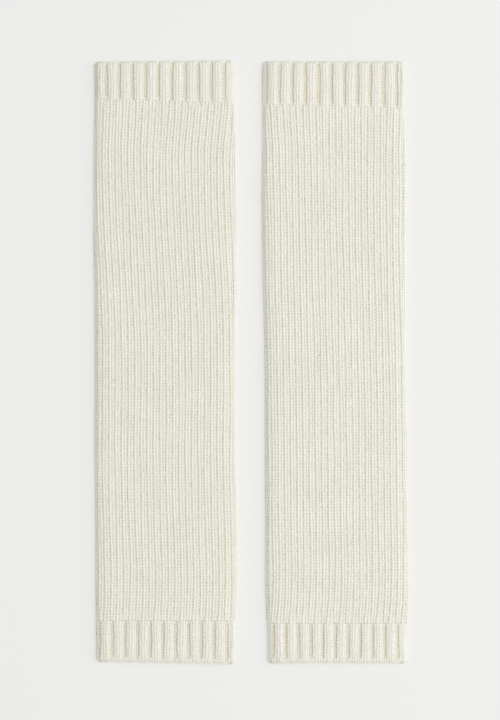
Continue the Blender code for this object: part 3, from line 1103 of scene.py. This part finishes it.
def opal_acrylic(surface, glow):
    """Opal acrylic sheet, extruded and matt, lit from below: shadows on it stay faint."""
    material = bpy.data.materials.new("opal_acrylic_light_table")
    material.use_nodes = True
    shader = material.node_tree.nodes["Principled BSDF"]
    shader.inputs["Emission Color"].default_value = linear("FFFFFE")
    shader.inputs["Emission Strength"].default_value = glow
    shader.inputs["Base Color"].default_value = (*surface, 1.0)
    shader.inputs["Roughness"].default_value = 0.7
    return material


class LEGWARMERS_OT_studio(bpy.types.Operator):
    """Set the light table under the pair, the lamps, the even sky and the camera straight above"""

    bl_idname = "legwarmers.studio"
    bl_label = "Studio"

    def execute(self, context):
        settings = context.scene.knit_studio
        bpy.ops.mesh.primitive_plane_add(size=TABLE_SIZE, location=(0.0, 0.0, 0.0))
        floor = context.object
        floor.name = "floor"
        surface = context.scene.knit_colours.surface
        floor.data.materials.append(opal_acrylic(surface, settings.table_glow))

        for lamp in LAMPS:
            light = bpy.data.lights.new(lamp.name, "AREA")
            light.energy = getattr(settings, lamp.power)
            light.shape = "SQUARE"
            light.size = lamp.size
            holder = bpy.data.objects.new(lamp.name, light)
            holder.location = lamp.place
            holder.rotation_euler = (holder.location * -1.0).to_track_quat("-Z", "Y").to_euler()
            context.scene.collection.objects.link(holder)

        world = bpy.data.worlds.new("studio")
        world.use_nodes = True
        sky = world.node_tree.nodes["Background"]
        sky.inputs["Color"].default_value = linear("FFFFFF")
        sky.inputs["Strength"].default_value = settings.sky
        context.scene.world = world
        context.scene.view_settings.view_transform = "Standard"

        view = bpy.data.cameras.new("camera")
        view.sensor_width = SENSOR
        view.lens = SENSOR * (CAMERA_HEIGHT - CLOTH_TOP) / FRAME_HEIGHT
        view.clip_start = CLIP_NEAR
        view.clip_end = CLIP_FAR
        camera = bpy.data.objects.new("camera", view)
        camera.location = (*FRAME_MIDDLE, CAMERA_HEIGHT)
        context.scene.collection.objects.link(camera)
        context.scene.camera = camera
        return {"FINISHED"}


class LEGWARMERS_PT_panel(bpy.types.Panel):
    """The pair's pieces, sizes and colours"""

    bl_idname = "LEGWARMERS_PT_panel"
    bl_label = "Leg warmers"
    bl_space_type = "VIEW_3D"
    bl_region_type = "UI"
    bl_category = "Leg warmers"

    def draw(self, context):
        layout = self.layout
        groups = (
            (context.scene.knit_sizes, KnitSizes),
            (context.scene.knit_colours, KnitColours),
            (context.scene.knit_studio, StudioSettings),
        )
        for values, kind in groups:
            for name in kind.__annotations__:
                layout.prop(values, name)
        for operator in OPERATORS:
            layout.operator(operator.bl_idname)


OPERATORS = (
    LEGWARMERS_OT_studio,
    LEGWARMERS_OT_leg_stitches,
    LEGWARMERS_OT_cuff_stitches,
    LEGWARMERS_OT_seams,
    LEGWARMERS_OT_cloth,
)
CLASSES = (KnitSizes, KnitColours, StudioSettings, *OPERATORS, LEGWARMERS_PT_panel)


def register():
    for kind in CLASSES:
        bpy.utils.register_class(kind)
    bpy.types.Scene.knit_sizes = bpy.props.PointerProperty(type=KnitSizes)
    bpy.types.Scene.knit_colours = bpy.props.PointerProperty(type=KnitColours)
    bpy.types.Scene.knit_studio = bpy.props.PointerProperty(type=StudioSettings)


def unregister():
    del bpy.types.Scene.knit_studio
    del bpy.types.Scene.knit_colours
    del bpy.types.Scene.knit_sizes
    for kind in reversed(CLASSES):
        bpy.utils.unregister_class(kind)


def main():
    register()
    bpy.ops.legwarmers.studio()
    bpy.ops.legwarmers.leg_stitches()
    bpy.ops.legwarmers.cuff_stitches()
    bpy.ops.legwarmers.seams()
    bpy.ops.legwarmers.cloth()


if __name__ == "__main__":
    main()
